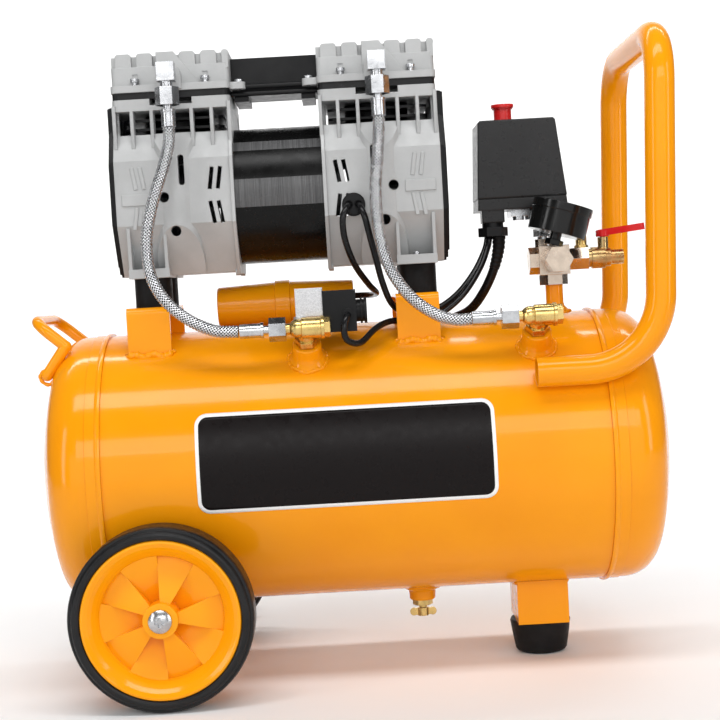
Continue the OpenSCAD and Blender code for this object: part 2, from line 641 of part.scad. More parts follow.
// Steel fittings of the hoses and the switch --------------------------------------------------------
module hose_top(x) translate([x, -hose_y, 0]) {
    box(-7.4, 7.4, -7.4, 7.4, 516, 531.5);
    translate([0, 6, 524]) rotate([-90, 0, 0]) cylinder(r = 6.2, h = 15);
    rod(5.2, 6, 510.5);
    hex(17.5, 15, 496);
    rod(3.6, 4, 492.5);
    rod(6.6, 2.2, 490.5);
    rod(6, 12.5, 478);
}
module hose_foot(x) translate([x, -valve_y, valve_z]) along_x() {
    rod(6, 17.5);
    rod(6.6, 2.4, 17.5);
    rod(3.6, 5, 19.5);
    hex(17.5, 14, 24.5);
}
module steel_fittings() color(zinc) {
    for (s = [-1, 1]) hose_top(pump_x + s * side_x);
    for (i = [0, 1]) hose_foot(hose_foot_x + i * valve_pitch);
    translate([181, 24, 0]) {
        rod(6.4, 31.4, port_z + 9.6);
        hex(17, 8, port_z + 22);
    }
    box(150, 199, 6, 42, switch_z - 6, switch_z);
    for (x = [157, 168]) translate([x, 10, 0]) hex(9, 3.5, switch_z - 9.5);
}

// Turned body of a check valve along Z, with a ball-shaped lobe over its side port
module valve_body() rotate_extrude() polygon(concat([[0, 0], [4.6, 0]],
    [for (a = [-55:15:20]) [8 * cos(a), 10 + 8 * sin(a)]],
    [[9, 13.5], [9, 29], [9.9, 29.5], [9.9, 32], [0, 32]]));
module check_valves() color(brass) for (i = [0, 1]) translate([boss_x + i * valve_pitch, 0, 0]) {
    translate([-16.5, -valve_y, valve_z]) along_x() {
        valve_body();
        hex(14.5, 6, 31);
    }
    on_port(0) {
        rod(7.45, port_d - 129, 127);
        hex(17, 6, 138);
    }
}

module unloader_valve() color("#b5b7b9") {
    box(-45, -22, -87, -64, 313, 337);
    translate([-42, -86, 309]) rod(5, 4.5);
}
module solenoid_coil() color(black) {
    difference() {
        box(-22, 6, -89, -62, 299, 334);
        translate([-23, -75.5, 322]) along_x() cylinder(r = 5, h = 20);
    }
    translate([6, -75.5, 316]) along_x() {
        rod(9.5, 3.5);
        rod(11, 1.6, 3.5);
        rod(9.5, 1.6, 5.1);
        rod(11, 2.3, 6.7);
    }
    translate([-1, -92, 314]) rotate([-90, 0, 0]) rod(4.4, 3.5);
}

cap_y = 25;
cap_z = 324;
module capacitor_housing() color(orange) translate([0, cap_y, cap_z]) along_x() rotate_extrude()
    polygon([[0, -118], [17, -118], [18, -117], [20.2, -66], [21.6, -65.5], [21.6, -52.5], [20.2, -52],
        [18.6, 4], [17.8, 5], [4, 5], [4, 3], [16, 3], [17.6, -60], [15.5, -115.5], [0, -115.5]]);
module run_capacitor() color("#dcdcd8") translate([0, cap_y, cap_z]) along_x() {
    rod(15, 100, -113);
    for (y = [-5, 5]) translate([0, y, 0]) rod(1.2, 6, -13);
}

// Wiring -----------------------------------------------------------------------------------------
module cable_glands() color(black) {
    difference() {
        translate([9, -67, 406]) rotate([-90, 0, 0]) rod(8.6, 3.4);
        for (x = [5, 13]) translate([x, -68, 406]) rotate([-90, 0, 0]) cylinder(r = 3.3, h = 2.6);
    }
    translate([9, -65, 406]) rotate([-90, 0, 0]) rod(10, 5);
    translate([133, 5, 0]) {
        difference() {
            union() {
                hex(23, 8, 374);
                rod(9.5, 5, 381);
            }
            translate([0, 0, 377]) cylinder(r = 8, h = 12);
            translate([0, 0, 373]) cylinder(r = 9.8, h = 2.5);
        }
    }
}
module motor_lead() color(black) tube(motor_lead_route, lead_r, [0.4, 0.2, 0.1], 8);
module capacitor_lead() color(black) tube(capacitor_lead_route, lead_r, [1, 0.9, 0.2], 8);
module solenoid_lead() color(black) tube(solenoid_lead_route, lead_r, [-0.6, 0.9, 0.6], 8);
module mains_lead() color(black) tube(mains_route, mains_r, [0.8, 0.7, 0.2], 8);
module hose_left() color(zinc) tube(hose_left_route, hose_r, [0, 1, 0], 10);
module hose_right() color(zinc) tube(hose_right_route, hose_r, [0, 1, 0], 10);

module mains_coil() color(black) translate([coil_centre[0], coil_centre[1], 0]) rotate_extrude()
    translate([coil_r - 3 * mains_r, 0]) square([5 * mains_r, coil_h]);
module mains_plug() color(black) translate([coil_centre[0] + 31, coil_centre[1] + 34, coil_h + 0.2]) {
    rotate_extrude() polygon([[0, 0], [15, 0], [17, 2], [17, 11], [15, 14], [0, 14]]);
    translate([-41, 0, 7]) along_x() cylinder(r1 = mains_r + 1, r2 = 6.8, h = 27);
    for (y = [-9.5, 9.5]) translate([0, y, 14 - e]) rod(2.3, 19);
}

// Manifold and outlet ------------------------------------------------------------------------------
module manifold() color("#c6b29a") translate([riser_x, 0, port_z]) {
    difference() {
        union() {
            translate([0, 0, 0]) cube([27, 28, 26], center = true);
            hex(22, 9, -22);
            translate([0, -46, 0]) along_y() hex(21.5, 33);
            translate([0, 13, 0]) along_y() hex(19, 22);
            translate([-21.5, 0, 0]) along_x() hex(21, 9);
            translate([13, 0, 0]) along_x() rotate([0, 0, 30]) hex(19, 18.4);
        }
        translate([0, 0, -23]) cylinder(r = 5, h = 24);
    }
    translate([-10.5, -5, 12]) hex(9, 7);
}
module safety_valve() color(brass) translate([212, 9, 0]) {
    hex(11, 2.4, port_z + 9.6);
    rod(5, 8.5, port_z + 11.5, 1.6);
}
module safety_pull() color(zinc) translate([212, 9, 0]) {
    rod(1.55, 12, port_z + 12);
    translate([0, 0, port_z + 28.5]) rotate([90, 0, 0]) rotate_extrude() translate([5, 0]) circle(0.9);
}

valve_x = 230;
module ball_valve() color(brass) difference() {
    union() {
        translate([216, 0, port_z]) along_x() {
            rod(8.2, 20);
            rod(9.6, 12, 3);
            rod(outlet_r, 12, 19.5);
        }
        translate([valve_x, 0, port_z]) rod(4.6, 18);
    }
    translate([216, 0, port_z]) along_x() cylinder(r = 4.2, h = 40);
    translate([valve_x, 0, port_z]) sphere(6.05);
    translate([valve_x, 0, port_z]) cylinder(r = 2.55, h = 30);
}
module valve_lever() color("#c5252c") translate([valve_x, 0, port_z]) {
    difference() {
        union() {
            sphere(6);
            rod(2.5, 24);
        }
        along_x() translate([0, 0, -10]) cylinder(r = 4, h = 20);
    }
    translate([0, 0, 18.5]) difference() {
        union() {
            rotate([0, -6, 0]) {
                box(-4, 34, -4.5, 4.5, 0.5, 6.5);
                translate([34, 0, 0.5]) cylinder(r = 4.5, h = 6);
            }
            rod(6, 5.5);
        }
        translate([0, 0, -1]) cylinder(r = 2.5, h = 10);
        translate([-9, -9, -4]) cube([50, 18, 4]);
    }
}

// Pressure gauge, drawn with Z out of its dial -------------------------------------------------------
module at_gauge() translate([188, -34, 385]) rotate([0, gauge_tilt, 0]) children();
module gauge_case() color(black) at_gauge() {
    difference() {
        union() {
            rod(gauge_r - 0.8, 25, -13.4);
            rod(gauge_r, 7, 6.4);
        }
        translate([0, 0, 8]) cylinder(r = gauge_r - 2.3, h = 10);
    }
    rod(1.2, 2, 8 - e);
    rod(5, 5, -18.4);
    hex(14, 5, -23.4);
}
module gauge_needle() color("#c5252c") at_gauge() rotate([0, 0, -135]) translate([0, 0, 8.6]) difference() {
    union() {
        rod(2.6, 0.8);
        linear_extrude(0.8) polygon([[-1.3, -7], [1.3, -7], [0.3, 19], [-0.3, 19]]);
    }
    translate([0, 0, -1]) cylinder(r = 1.25, h = 3);
}
module gauge_lens() color([0.9, 0.95, 1, 0.3]) at_gauge() rod(gauge_r - 2.3, 1.4, 11);

// Pressure switch ----------------------------------------------------------------------------------
switch_y = [-6, 50];
switch_seam = switch_z + 10.5;
switch_top = 476.5;
module switch_outline(t) polygon([[119.3 + t, switch_z], [200.5 - t, switch_z], [199.4 - t, switch_seam],
    [192 - t, switch_top - 2 - t], [190 - t, switch_top - t], [125 + t, switch_top - t],
    [123 + t, switch_top - 2 - t], [119.8 + t, switch_seam]]);
module switch_base() color(black) difference() {
    union() {
        intersection() {
            slab_y(switch_y[0] + 0.6, switch_y[1] - 0.6) switch_outline(0.5);
            box(100, 210, -20, 60, switch_z, switch_seam);
        }
        box(123, 143, -5, 15, switch_z - 11, switch_z + e);
    }
    box(123, 197, switch_y[0] + 3, switch_y[1] - 3, switch_z + 3, switch_seam + 1);
    translate([133, 5, 380]) cylinder(r = 8, h = 30);
}
module switch_cover() color(black) difference() {
    intersection() {
        slab_y(switch_y[0], switch_y[1]) switch_outline(0);
        box(100, 210, -20, 60, switch_seam, 500);
    }
    intersection() {
        slab_y(switch_y[0] + 2.5, switch_y[1] - 2.5) switch_outline(2.5);
        box(100, 210, -20, 60, switch_seam - 1, 500);
    }
    translate([148.5, 22, switch_top - 10]) cylinder(r = 8.4, h = 20);
}
module switch_knob() color("#c5252c") translate([148.5, 22, 0]) {
    rod(8, 24, 466);
    rod(10.2, 3, 489.5);
    rod(9.2, 1.5, 488.2);
}

// Fasteners ----------------------------------------------------------------------------------------
module flange_bolt() {
    rod(2.4, 4);
    rod(3.2, 1.2, 2.6);
    rod(3.9, 2.4, 3.4);
}
module fasteners() color(zinc) {
    for (s = [-1, 1], x = [-30, 30], y = [-52, 52])
        translate([pump_x + s * side_x + x, y, head_z + head_flange]) {
            translate([0, 0, -18]) cylinder(r = 3, h = 18 + e);
            flange_bolt();
        }
    for (s = [-1, 1], y = [-40, 40]) translate([pump_x + s * (side_x - lug_x), y, head_z]) {
        rod(2, head_flange + e);
        rod(3.6, 2.4, head_flange);
    }
    for (s = [-1, 1], y = [-1, 1]) translate([pump_x + s * mount_dx, y * mount_y, 0]) {
        translate([0, 0, pad_z]) cylinder(r = 4.1, h = 12);
        hex(13, 5, pad_z + 8);
        translate([0, 0, saddle_top - 9]) cylinder(r = 4.1, h = 9);
        hex(13, 5.5, saddle_top - saddle_t - 5.5);
    }
    ends_y() translate([wheel_x, -hub_out, wheel_r]) rotate([90, 0, 0]) difference() {
        intersection() {
            translate([0, 0, -7.6]) sphere(14);
            rod(9.5, 6.4, 0.3);
        }
        for (a = [0, 90]) rotate([0, 0, a]) translate([-4, -1.2, 2.8]) cube([8, 2.4, 5]);
    }
    sides() ends_y() translate([pad_x, -47, pad_z + 8]) rod(2.8, 2.5);
    translate([foot_x, 0, 0]) {
        hex(13, 6, 14.1 - 6.2);
        translate([0, 0, 13.9]) cylinder(r = 4, h = foot_h - 4);
        hex(13, 6, foot_h + foot_plate);
    }
}

module rubber_mounts() color(black) for (s = [-1, 1], y = [-1, 1])
    translate([pump_x + s * mount_dx, y * mount_y, saddle_top]) rod(rubber_r, rubber_h);

tank_shell();
tank_heads();
front_handle();
lifting_bail();
saddle_brackets();
axle_brackets();
wheel_axles();
near_rim();
near_tyre();
far_rim();
far_tyre();
foot_bracket();
rubber_foot();
tank_bosses();
drain_cock();
drain_wing();
rubber_mounts();
fasteners();
crankcase_left();
crankcase_right();
fan_covers();
cylinders();
valve_plates();
head_gaskets();
head_covers();
piston_left();
piston_right();
motor_stator();
rotor();
shaft_bearings();
eccentrics();
cooling_fans();
intake_duct();
crossover_tubes();
hose_left();
hose_right();
steel_fittings();
check_valves();
capacitor_housing();
run_capacitor();
unloader_valve();
solenoid_coil();
cable_glands();
motor_lead();
capacitor_lead();
solenoid_lead();
mains_lead();
mains_coil();
mains_plug();
manifold();
safety_valve();
safety_pull();
ball_valve();
valve_lever();
gauge_case();
gauge_needle();
gauge_lens();
switch_base();
switch_cover();
switch_knob();
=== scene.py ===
import math

import bpy
import numpy as np
from mathutils import Matrix, Vector


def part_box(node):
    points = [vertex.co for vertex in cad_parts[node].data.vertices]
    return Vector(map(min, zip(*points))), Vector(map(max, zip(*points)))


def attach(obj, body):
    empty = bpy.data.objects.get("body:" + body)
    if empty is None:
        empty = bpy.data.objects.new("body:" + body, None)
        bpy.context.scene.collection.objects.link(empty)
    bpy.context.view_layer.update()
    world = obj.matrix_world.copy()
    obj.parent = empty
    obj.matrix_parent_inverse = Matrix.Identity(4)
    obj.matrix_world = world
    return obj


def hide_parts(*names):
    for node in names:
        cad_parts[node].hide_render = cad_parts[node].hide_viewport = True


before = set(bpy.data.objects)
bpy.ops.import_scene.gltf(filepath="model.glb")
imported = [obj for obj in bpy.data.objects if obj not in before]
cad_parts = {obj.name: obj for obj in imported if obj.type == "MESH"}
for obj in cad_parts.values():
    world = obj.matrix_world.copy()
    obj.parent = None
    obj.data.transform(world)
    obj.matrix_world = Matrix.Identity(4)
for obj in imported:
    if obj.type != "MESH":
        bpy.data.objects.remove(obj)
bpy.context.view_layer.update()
MM = 0.001


# Camera ---------------------------------------------------------------------------------------
CAMERA_PLACE = (-2.6, -1403.5, 336.6)
CAMERA_PITCH, CAMERA_YAW, CAMERA_ROLL = 2.706, 0.41, 3.19
SENSOR_WIDTH, LENS = 36, 78.4


def add_camera():
    """A long lens at the height of the pump, with the slight roll of a product picture."""
    pitch, yaw, roll = (math.radians(d) for d in (CAMERA_PITCH, CAMERA_YAW, CAMERA_ROLL))
    forward = Vector((math.sin(yaw) * math.cos(pitch), math.cos(yaw) * math.cos(pitch), -math.sin(pitch)))
    right = Vector((math.cos(yaw), -math.sin(yaw), 0))
    up = right.cross(forward)
    c, s = math.cos(roll), math.sin(roll)
    right, up = c * right - s * up, s * right + c * up
    camera = bpy.data.objects.new("camera", bpy.data.cameras.new("camera"))
    bpy.context.scene.collection.objects.link(camera)
    camera.data.sensor_width = SENSOR_WIDTH
    camera.data.lens = LENS
    turn = Matrix((right, up, -forward)).transposed().to_4x4()
    camera.matrix_world = Matrix.Translation(Vector(CAMERA_PLACE) * MM) @ turn
    bpy.context.scene.camera = camera


add_camera()


# Mesh helpers ---------------------------------------------------------------------------------
def add_mesh(name, verts, faces, material, body="frame", smooth=True):
    """A new mesh piece which rides on body, or on nothing when body is None."""
    mesh = bpy.data.meshes.new(name)
    mesh.from_pydata([tuple(v) for v in verts], [], faces)
    mesh.validate()
    if smooth:
        mesh.shade_smooth()
    obj = bpy.data.objects.new(name, mesh)
    bpy.context.scene.collection.objects.link(obj)
    mesh.materials.append(material)
    if body:
        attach(obj, body)
    return obj


def smooth_route(points, count):
    """count points, evenly spaced, on the Catmull-Rom curve through points."""
    p = [Vector(q) for q in points]
    p = [2 * p[0] - p[1]] + p + [2 * p[-1] - p[-2]]
    steps = 24
    fine = []
    for i in range(1, len(p) - 2):
        a, b, c, d = p[i - 1:i + 3]
        for k in range(steps):
            t = k / steps
            fine.append(0.5 * (2 * b + (c - a) * t + (2 * a - 5 * b + 4 * c - d) * t * t
                               + (3 * b - a - 3 * c + d) * t ** 3))
    fine.append(p[-2])
    run = [0.0]
    for a, b in zip(fine, fine[1:]):
        run.append(run[-1] + (b - a).length)
    out, j = [], 0
    for i in range(count):
        want = run[-1] * i / (count - 1)
        while j < len(run) - 2 and run[j + 1] < want:
            j += 1
        t = (want - run[j]) / max(run[j + 1] - run[j], 1e-9)
        out.append(fine[j].lerp(fine[j + 1], t))
    return out


def route_frames(path):
    """A tangent and two normals at each point, which turn as little as they can."""
    last = len(path) - 1
    tangents = [(path[min(i + 1, last)] - path[max(i - 1, 0)]).normalized() for i in range(last + 1)]
    normal = tangents[0].orthogonal().normalized()
    frames = []
    for t in tangents:
        normal = (normal - normal.dot(t) * t).normalized()
        frames.append((t, normal.copy(), t.cross(normal)))
    return frames


def tube_faces(rings, sides, start=0):
    """Faces between rings of vertices, the first of which begins at vertex start."""
    faces = []
    for i in range(rings - 1):
        a = start + i * sides
        for k in range(sides):
            m = (k + 1) % sides
            faces.append((a + k, a + m, a + sides + m, a + sides + k))
    return faces


def closed_tube_faces(rings, sides):
    """Faces between rings of vertices, with a flat face at each end."""
    last = (rings - 1) * sides
    return tube_faces(rings, sides) + [tuple(range(sides - 1, -1, -1)), tuple(range(last, last + sides))]


def circle(steps):
    """The cosine and sine of evenly spaced angles, once round."""
    angles = [2 * math.pi * k / steps for k in range(steps)]
    return [(math.cos(a), math.sin(a)) for a in angles]


def swept(path, radii, sides):
    """Vertices and faces of a closed round tube along path."""
    verts = []
    for (_, n, b), p, r in zip(route_frames(path), path, radii):
        verts += [p + r * (c * n + s * b) for c, s in circle(sides)]
    return verts, closed_tube_faces(len(path), sides)


def turned(name, profile, base, axis, material, sides):
    """A closed turned piece: profile rows are the distance along axis from base and the radius."""
    axis = Vector(axis).normalized()
    u = axis.orthogonal().normalized()
    v = axis.cross(u)
    verts = []
    for along, radius in profile:
        verts += [(Vector(base) + along * axis + radius * (c * u + s * v)) * MM for c, s in circle(sides)]
    return add_mesh(name, verts, closed_tube_faces(len(profile), sides), material)


# Materials ------------------------------------------------------------------------------------
class Look:
    """A node material in the row frame's coordinates, built round one Principled shader."""

    def __init__(self, name):
        self.material = bpy.data.materials.new(name)
        self.material.use_nodes = True
        self.nodes = self.material.node_tree.nodes
        self.links = self.material.node_tree.links
        self.shader = self.nodes["Principled BSDF"]
        self.coords = self.add("ShaderNodeTexCoord").outputs["Object"]
        self.normal = None

    def add(self, kind, **settings):
        node = self.nodes.new(kind)
        for key, value in settings.items():
            if hasattr(node, key):
                setattr(node, key, value)
            else:
                node.inputs[key].default_value = value
        return node

    def link(self, a, b):
        self.links.new(a, b)

    def stretched(self, scale):
        node = self.add("ShaderNodeMapping")
        node.inputs["Scale"].default_value = scale
        self.link(self.coords, node.inputs["Vector"])
        return node.outputs["Vector"]

    def noise(self, scale, detail=3.0, stretch=None, rough=0.5):
        node = self.add("ShaderNodeTexNoise", Scale=scale, Detail=detail, Roughness=rough)
        self.link(self.stretched(stretch) if stretch else self.coords, node.inputs["Vector"])
        return node.outputs["Fac"]

    def ramp(self, value, low, high, a, b):
        node = self.add("ShaderNodeMapRange")
        node.inputs["From Min"].default_value = low
        node.inputs["From Max"].default_value = high
        node.inputs["To Min"].default_value = a
        node.inputs["To Max"].default_value = b
        self.link(value, node.inputs["Value"])
        return node.outputs["Result"]

    def mix(self, factor, a, b):
        node = self.add("ShaderNodeMix", data_type="RGBA")
        for socket, value in ((node.inputs[6], a), (node.inputs[7], b)):
            if isinstance(value, (tuple, list)):
                socket.default_value = (*value[:3], 1)
            else:
                self.link(value, socket)
        self.link(factor, node.inputs[0])
        return node.outputs[2]

    def color(self, socket):
        self.link(socket, self.shader.inputs["Base Color"])

    def roughness(self, socket):
        self.link(socket, self.shader.inputs["Roughness"])

    def edges(self, radius):
        node = self.add("ShaderNodeBevel", samples=6)
        node.inputs["Radius"].default_value = radius
        self.normal = node.outputs["Normal"]

    def bump(self, height, strength, distance):
        node = self.add("ShaderNodeBump")
        node.inputs["Strength"].default_value = strength
        node.inputs["Distance"].default_value = distance
        self.link(height, node.inputs["Height"])
        if self.normal:
            self.link(self.normal, node.inputs["Normal"])
        self.normal = node.outputs["Normal"]

    def done(self, **constants):
        for key, value in constants.items():
            self.shader.inputs[key.replace("_", " ")].default_value = value
        if self.normal:
            self.link(self.normal, self.shader.inputs["Normal"])
        return self.material


def enamel(name, color, dark, edge=0.0008):
    """Glossy powder coat: faint orange peel, slow colour drift and softly rounded edges."""
    look = Look(name)
    drift = look.ramp(look.noise(9, 4), 0.3, 0.7, 0, 1)
    look.color(look.mix(drift, dark, color))
    look.roughness(look.ramp(look.noise(60, 3), 0.3, 0.7, 0.12, 0.2))
    look.edges(edge)
    look.bump(look.noise(420, 2), 0.06, 0.0006)
    look.bump(look.noise(35, 2), 0.05, 0.003)
    return look.done(Coat_Weight=0.2, Coat_Roughness=0.05, Specular_IOR_Level=0.16)


def casting(name, color):
    """Silver-grey painted die casting with a fine sand texture and grime in its colour."""
    look = Look(name)
    grime = look.ramp(look.noise(28, 6, rough=0.65), 0.35, 0.75, 0, 1)
    look.color(look.mix(grime, color, [c * 0.86 for c in color]))
    look.roughness(look.ramp(look.noise(90, 4), 0.3, 0.7, 0.36, 0.5))
    look.edges(0.0009)
    look.bump(look.noise(900, 3, rough=0.7), 0.14, 0.0005)
    look.bump(look.noise(120, 3), 0.1, 0.0008)
    return look.done(Metallic=0.15, Specular_IOR_Level=0.35)


def plastic(name, color, rough=0.42, grain=1400, depth=0.12, edge=0.0006, spread=1.4, gloss=0.16):
    """Moulded plastic with a fine spark-eroded grain."""
    look = Look(name)
    patch = look.ramp(look.noise(22, 4), 0.3, 0.7, 0, 1)
    look.color(look.mix(patch, color, [c * spread for c in color]))
    look.roughness(look.ramp(look.noise(140, 3), 0.3, 0.7, rough - 0.06, rough + 0.08))
    look.edges(edge)
    look.bump(look.noise(grain, 2), depth, 0.0003)
    return look.done(Specular_IOR_Level=gloss)


def rubber(name, color, rough=0.55, gloss=0.2):
    """Moulded rubber with a dusty bloom and faint mould texture."""
    look = Look(name)
    bloom = look.ramp(look.noise(45, 6, rough=0.7), 0.35, 0.8, 0, 1)
    look.color(look.mix(bloom, color, [c * 1.8 + 0.002 for c in color]))
    look.roughness(look.ramp(look.noise(200, 3), 0.3, 0.7, rough - 0.08, rough + 0.08))
    look.edges(0.0007)
    look.bump(look.noise(700, 4), 0.16, 0.0004)
    return look.done(Specular_IOR_Level=gloss)


def metal(name, color, rough, spread=0.8, scratch=(30, 30, 900), edge=0.0005, detail=70):
    """Machined or plated metal: tarnish in its colour, fine tool marks and soft edges."""
    look = Look(name)
    tarnish = look.ramp(look.noise(detail, 5, rough=0.6), 0.35, 0.7, 0, 1)
    look.color(look.mix(tarnish, color, [c * spread for c in color]))
    look.roughness(look.ramp(look.noise(160, 4), 0.3, 0.7, rough - 0.06, rough + 0.1))
    look.edges(edge)
    look.bump(look.noise(1, 3, stretch=scratch), 0.08, 0.0002)
    return look.done(Metallic=1.0)


orange_enamel = enamel("orange_enamel", (0.90, 0.33, 0.003), (0.84, 0.285, 0.002))
orange_plastic = enamel("orange_plastic", (0.95, 0.37, 0.004), (0.90, 0.33, 0.003), 0.0006)
cast_grey = casting("cast_grey", (0.42, 0.425, 0.425))
black_plastic = plastic("black_plastic", (0.007, 0.007, 0.0075), 0.36)
switch_plastic = plastic("switch_plastic", (0.012, 0.012, 0.0125), 0.3, 900, 0.3, 0.0026, gloss=0.26)
red_plastic = plastic("red_plastic", (0.68, 0.018, 0.018), 0.26, 900, 0.05, 0.0008, 0.85, 0.35)
red_paint = enamel("red_lever", (0.66, 0.02, 0.022), (0.54, 0.012, 0.014), 0.0008)
gloss_black = plastic("gloss_black", (0.005, 0.005, 0.005), 0.14, 500, 0.03, 0.001, gloss=0.3)
black_rubber = rubber("black_rubber", (0.007, 0.007, 0.0075), 0.5, 0.14)
tyre_rubber = rubber("tyre_rubber", (0.007, 0.007, 0.0075), 0.36, 0.26)
cable_black = rubber("cable_black", (0.0045, 0.0045, 0.005), 0.22, 0.22)
gasket_black = rubber("gasket_black", (0.02, 0.02, 0.02))
zinc = metal("zinc", (0.62, 0.63, 0.65), 0.22, 0.6)
bright_metal = metal("bright_metal", (0.62, 0.63, 0.64), 0.34)
steel = metal("steel", (0.46, 0.47, 0.48), 0.32)
brass = metal("brass", (0.78, 0.56, 0.21), 0.24, 0.7)
bronze = metal("bronze", (0.66, 0.55, 0.45), 0.2, 0.72, detail=60)
aged_brass = metal("aged_brass", (0.60, 0.43, 0.20), 0.26, 0.6, detail=120)
can_metal = metal("capacitor_can", (0.62, 0.62, 0.60), 0.4)
braid_wire = metal("braid", (0.86, 0.87, 0.89), 0.24, 0.85, (400, 400, 400), 0.00005)


def painted_steel():
    """Satin black paint over stampings, with a few rubbed spots."""
    look = Look("dark_metal")
    worn = look.ramp(look.noise(80, 6, rough=0.7), 0.62, 0.78, 0, 1)
    look.color(look.mix(worn, (0.006, 0.006, 0.0065), (0.04, 0.04, 0.042)))
    look.roughness(look.ramp(look.noise(150, 3), 0.3, 0.7, 0.3, 0.42))
    look.edges(0.0006)
    look.bump(look.noise(900, 2), 0.1, 0.0003)
    return look.done(Specular_IOR_Level=0.22)


# Heights of the stator's painted highlight bands, where light catches the flats.
HIGHLIGHT_BANDS = ((0.409, 0.433), (0.458, 0.466))


def laminations():
    """Black lacquered stack with two bands, low and high, of painted highlight where light catches its
    flats; the fine ruling in them is where the sheets' edges show.
    """
    look = Look("stator_laminations")
    split = look.add("ShaderNodeSeparateXYZ")
    look.link(look.coords, split.inputs[0])
    height = split.outputs["Z"]
    band = None
    for low, high in HIGHLIGHT_BANDS:
        inside = look.add("ShaderNodeMath", operation="COMPARE")
        look.link(height, inside.inputs[0])
        inside.inputs[1].default_value = (low + high) / 2
        inside.inputs[2].default_value = (high - low) / 2
        if band:
            both = look.add("ShaderNodeMath", operation="MAXIMUM")
            look.link(band, both.inputs[0])
            look.link(inside.outputs[0], both.inputs[1])
            band = both.outputs[0]
        else:
            band = inside.outputs[0]
    streaks = look.noise(1, 4, stretch=(1500, 30, 12), rough=0.7)
    # Painted highlight: the ruled lamination lines are drawn lighter inside the bands, with plain black
    # lacquer outside them.
    lit_laminations = look.mix(look.ramp(streaks, 0.3, 0.7, 0, 1), (0.035, 0.035, 0.036), (0.14, 0.14, 0.142))
    look.color(look.mix(band, (0.004, 0.004, 0.004), lit_laminations))
    look.roughness(look.ramp(look.noise(90, 3), 0.3, 0.7, 0.22, 0.34))
    look.bump(streaks, 0.25, 0.0002)
    return look.done(Specular_IOR_Level=0.16)


def clear_lens():
    """Clear moulded acrylic with a faint haze."""
    look = Look("lens")
    look.color(look.mix(look.noise(30, 2), (0.97, 0.98, 1.0), (0.93, 0.95, 0.97)))
    look.roughness(look.ramp(look.noise(200, 3), 0.3, 0.7, 0.02, 0.06))
    return look.done(Transmission_Weight=1.0, IOR=1.49)


def printed_film(name, color, gloss):
    """Screen-printed film: thin ink with faint mottling under a clear satin layer."""
    look = Look(name)
    look.color(look.mix(look.noise(300, 3), color, [c * 0.9 for c in color]))
    look.roughness(look.ramp(look.noise(120, 3), 0.3, 0.7, 0.24, 0.36))
    look.bump(look.noise(900, 2), 0.05, 0.0002)
    return look.done(Specular_IOR_Level=gloss)


def rough_casting():
    """Bare tumbled casting with a coarse sparkling grain."""
    look = Look("cast_zinc")
    grain = look.noise(1100, 4, rough=0.8)
    look.color(look.mix(look.ramp(grain, 0.35, 0.65, 0, 1), (0.42, 0.42, 0.43), (0.72, 0.72, 0.73)))
    look.roughness(look.ramp(grain, 0.3, 0.7, 0.3, 0.55))
    look.edges(0.0008)
    look.bump(grain, 0.35, 0.0004)
    return look.done(Metallic=0.8)


dark_metal = painted_steel()
cast_zinc = rough_casting()
stator_black = laminations()
lens = clear_lens()
print_black = printed_film("print_black", (0.007, 0.005, 0.005), 0.12)
print_pale = printed_film("print_pale", (0.86, 0.86, 0.85), 0.3)

FINISHES = {
    orange_enamel: "tank_shell tank_heads tank_bosses front_handle lifting_bail "
                   "saddle_brackets axle_brackets foot_bracket",
    orange_plastic: "near_rim far_rim capacitor_housing",
    tyre_rubber: "near_tyre far_tyre",
    black_rubber: "rubber_foot rubber_mounts",
    zinc: "wheel_axles fasteners steel_fittings shaft_bearings safety_pull",
    cast_grey: "crankcase_left crankcase_right head_covers",
    black_plastic: "fan_covers intake_duct solenoid_coil cable_glands cooling_fans",
    cast_zinc: "unloader_valve",
    switch_plastic: "switch_base switch_cover",
    gloss_black: "gauge_case",
    dark_metal: "cylinders valve_plates crossover_tubes",
    gasket_black: "head_gaskets",
    brass: "check_valves drain_cock drain_wing safety_valve",
    aged_brass: "ball_valve",
    bronze: "manifold",
    bright_metal: "piston_left piston_right",
    steel: "rotor eccentrics",
    stator_black: "motor_stator",
    can_metal: "run_capacitor",
    red_plastic: "switch_knob gauge_needle",
    red_paint: "valve_lever",
    lens: "gauge_lens",
}
for finish, nodes in FINISHES.items():
    for node in nodes.split():
        for material_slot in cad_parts[node].material_slots:
            material_slot.material = finish


# Cords and hoses ------------------------------------------------------------------------------
# Each route repeats the same cord's points in the CAD source, in millimetres.
HOSE_LEFT = [
    (-142, -82, 477.5), (-143, -82, 464), (-148, -84, 446), (-157, -86, 421), (-164, -87, 396),
    (-166, -88, 374), (-163, -90, 352), (-152, -92, 332), (-134, -94, 316), (-113, -96, 306),
    (-93, -97, 304),
]
HOSE_RIGHT = [
    (34, -82, 477.5), (33, -82, 464), (31, -84, 444), (28, -85, 420), (28, -86, 392),
    (31, -88, 367), (39, -90, 344), (54, -92, 323), (73, -95, 309), (89, -97, 304),
    (101.5, -97, 304),
]
MOTOR_LEAD = [
    (13, -67, 406), (15, -74, 402), (18, -78, 393), (21, -76, 378), (25, -69, 360),
    (30, -60, 338), (37, -50, 320), (48, -41, 311), (62, -34, 309), (80, -27, 314),
    (98, -17, 326), (114, -5, 344), (125, 5, 363), (128, 8, 374),
]
CAPACITOR_LEAD = [
    (5, -67, 406), (3, -74, 403), (-1, -78, 394), (0, -75, 376), (7, -62, 355),
    (18, -40, 338), (25, -14, 330), (22, 8, 328), (15, 20, 328), (7, 24, 328),
]
SOLENOID_LEAD = [
    (-1, -94, 313), (-3, -99, 310), (-5, -102, 301), (-3, -100, 292), (8, -91, 289),
    (22, -73, 300), (36, -56, 305), (50, -50, 303), (66, -44, 303), (84, -36, 311),
    (102, -25, 325), (118, -11, 346), (127, -1, 365), (129, 1, 374),
]
